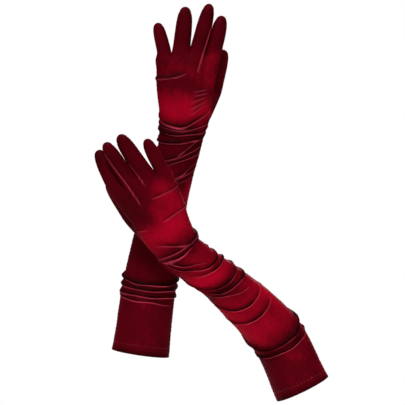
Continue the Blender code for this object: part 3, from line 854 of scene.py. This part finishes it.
def build_glove(name, materials, thread):
    glove = Glove(name)
    points, quads, panel, names = smooth_sheet(glove)
    normals = normals_of(points, quads)
    points = points + normals * CLOTH
    coordinates = arm_coordinates(glove, points)
    s = coordinates[0]
    digit_faces = np.array([n.split("_")[0] in (*FINGERS, "thumb") for n in names])[panel]
    digit = np.zeros(len(points))
    digit[np.unique(quads[digit_faces])] = 1
    seam = seam_points(len(points), quads, panel, names)
    folded, painted_highlight, painted_shade = fold_cloth(glove, points, normals, coordinates, spread(digit, quads, 14))
    near_seam = spread(seam, quads, 1) / 0.5
    folded -= normals * (SEAM_DEPTH_MM / 1000 * near_seam)[:, None]
    # painted shade along the seams' grooves
    painted_shade += 0.35 * seam
    digit_reach = digit * smoothstep(400, 470, s) if name == "left" else digit * smoothstep(385, 450, s)
    painted_pile_sheen = painted_pile_sheen_of(glove, points, coordinates, digit_reach)
    values = {"painted_pile_sheen": painted_pile_sheen, "painted_highlight": painted_highlight, "painted_shade": painted_shade}
    normals = normals_of(folded, quads)
    pieces = {}
    for number, panel_name in enumerate(names):
        own = quads[panel == number]
        piece = cloth_piece(f"{name}_{panel_name}_cloth", folded, own, normals, values, materials)
        pieces[panel_name] = piece
        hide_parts(f"{name}_{panel_name}")
        declare_sheet(panel_name)
    attach(glove, pieces)
    hem(glove, folded, quads, normals, s, values, materials)
    hem_stitches(glove, folded, normals, s, thread)
    for number in range(3):
        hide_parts(f"{name}_{FINGERS[number]}_{FINGERS[number + 1]}_quirk")
    for node in (f"{name}_radial_seam_thread", f"{name}_ulnar_seam_thread"):
        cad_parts[node].data.materials.clear()
        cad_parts[node].data.materials.append(thread)


def declare_sheet(panel_name):
    """Works out the kind of a panel from its name; nothing more is done with it."""
    kind = panel_name.split("_")[0]
    if kind in FINGERS:
        kind = "fourchette" if "fourchette" in panel_name else "finger"
    if kind == "hand":
        kind = panel_name


def attach(glove, pieces):
    """The hand pieces follow the CAD hand body; the sleeve, finger and thumb pieces stay fixed where they are."""
    name = glove.name
    for panel_name, piece in pieces.items():
        first = panel_name.split("_")[0]
        if first == "sleeve":
            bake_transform(piece)
        elif first == "hand":
            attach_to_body(piece, f"{name}_hand")
        else:
            root = glove.in_hand(THUMB_ROOT if first == "thumb" else FINGER_ROOTS[first][0])
            axis = (glove.in_hand(glove.spec["tips"][first]) - root).normalized()
            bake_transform(piece)


def hem(glove, points, quads, normals, s, values, materials):
    """The cloth that is turned up inside the cuff, with its pile side inwards."""
    near = quads[(s[quads].max(axis=1) < HEM_MM)]
    inside = points - normals * (THICKNESS + HEM_CLEARANCE + THICKNESS)
    piece = cloth_piece(f"{glove.name}_hem_cloth", inside, near[:, ::-1], -normals, values, materials)
    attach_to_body(piece, f"{glove.name}_sleeve")
    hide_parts(f"{glove.name}_hem_facing")
    declare_sheet("hem")


def hem_stitches(glove, points, normals, s, material):
    """A row of small sunk stitches through the pile round the cuff."""
    row = np.flatnonzero(np.abs(s - STITCH_MM) < 0.45)
    centre = points[row].mean(axis=0)
    frame_here = frame_about(glove.line(0.03)[1], (0, -1, 0), glove.side, glove.spec["roll"])
    across, _, out = (np.array(v) for v in frame_here)
    offset = points[row] - centre
    angle = np.arctan2(offset @ out, offset @ across)
    order = row[np.argsort(angle)]
    length = np.linalg.norm(np.diff(points[order], axis=0, append=points[order[:1]]), axis=1).sum()
    form = bmesh.new()
    count = round(length / STITCH_PITCH)
    picked = order[np.linspace(0, len(order), count, endpoint=False).astype(int)]
    for here, ahead in zip(picked, np.roll(picked, -1)):
        way = Vector(points[ahead] - points[here]).normalized()
        up = Vector(normals[here])
        turn = Matrix((way, up.cross(way), up)).transposed().to_4x4()
        place = Matrix.Translation(Vector(points[here]) - up * 0.0002)
        size = Matrix.Diagonal((STITCH_PITCH * 0.33, 0.00028, 0.00028, 1))
        bmesh.ops.create_uvsphere(form, u_segments=8, v_segments=5, radius=1, matrix=place @ turn @ size)
    mesh = bpy.data.meshes.new("stitches")
    form.to_mesh(mesh)
    form.free()
    mesh.materials.append(material)
    piece = bpy.data.objects.new(f"{glove.name}_hem_stitches", mesh)
    bpy.context.scene.collection.objects.link(piece)
    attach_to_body(piece, f"{glove.name}_sleeve")
    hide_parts(f"{glove.name}_hem_stitching")


# --- Studio --------------------------------------------------------------------------------------------------


def look_at(thing, target):
    thing.rotation_euler = (Vector(target) - thing.location).to_track_quat("-Z", "Y").to_euler()


def camera():
    made = bpy.data.objects.new("camera", bpy.data.cameras.new("camera"))
    bpy.context.scene.collection.objects.link(made)
    made.data.sensor_width = 36.0
    made.data.lens = 144.9
    made.location = (0.0838, -2.2, 0.2032)
    made.rotation_euler = (math.radians(90), 0, 0)
    bpy.context.scene.camera = made


def area_light(name, location, target, size, energy):
    data = bpy.data.lights.new(name, "AREA")
    data.shape = "DISK"
    data.size, data.energy = size, energy
    made = bpy.data.objects.new(name, data)
    made.location = location
    bpy.context.scene.collection.objects.link(made)
    look_at(made, target)


def studio():
    camera()
    centre = (CAD_BOX[0] + CAD_BOX[1]) / 2
    area_light("key", (-0.6, -1.6, 2.2), centre, 0.6, 78)
    area_light("fill", (1.6, -1.9, 0.4), centre, 1.2, 14)
    area_light("top", (0.1, -0.2, 2.2), centre, 0.8, 20)
    area_light("back", (0.6, 2.2, 1.2), centre, 1.2, 44)
    world = bpy.data.worlds.new("studio")
    bpy.context.scene.world = world
    world.use_nodes = True
    tree = world.node_tree
    background = tree.nodes["Background"]
    path = tree.nodes.new("ShaderNodeLightPath")
    bright = tree.nodes.new("ShaderNodeMix")
    bright.inputs[2].default_value = 0.26
    bright.inputs[3].default_value = 1.0
    tree.links.new(path.outputs["Is Camera Ray"], bright.inputs[0])
    tree.links.new(bright.outputs[0], background.inputs["Strength"])
    background.inputs["Color"].default_value = (1, 1, 1, 1)
    floor_level = CAD_BOX[0].z - 0.16
    mesh = bpy.data.meshes.new("floor")
    form = bmesh.new()
    bmesh.ops.create_circle(form, cap_ends=True, segments=96, radius=1.1)
    form.to_mesh(mesh)
    form.free()
    floor = bpy.data.objects.new("floor", mesh)
    floor.location = (centre.x, centre.y, floor_level)
    bpy.context.scene.collection.objects.link(floor)
    paint = Nodes("pale_floor")
    colour = paint.mix(paint.noise(3, 2), (0.9, 0.9, 0.9, 1), (0.93, 0.93, 0.93, 1))
    paint.put(paint.shader.inputs["Base Color"], colour)
    paint.shader.inputs["Roughness"].default_value = 0.7
    mesh.materials.append(paint.material)
    bpy.context.scene.view_settings.view_transform = "Standard"


def main():
    studio()
    velvet, backing, thread = velvet_material(), backing_material(), thread_material()
    for name in GLOVES:
        build_glove(name, (velvet, backing), thread)


main()
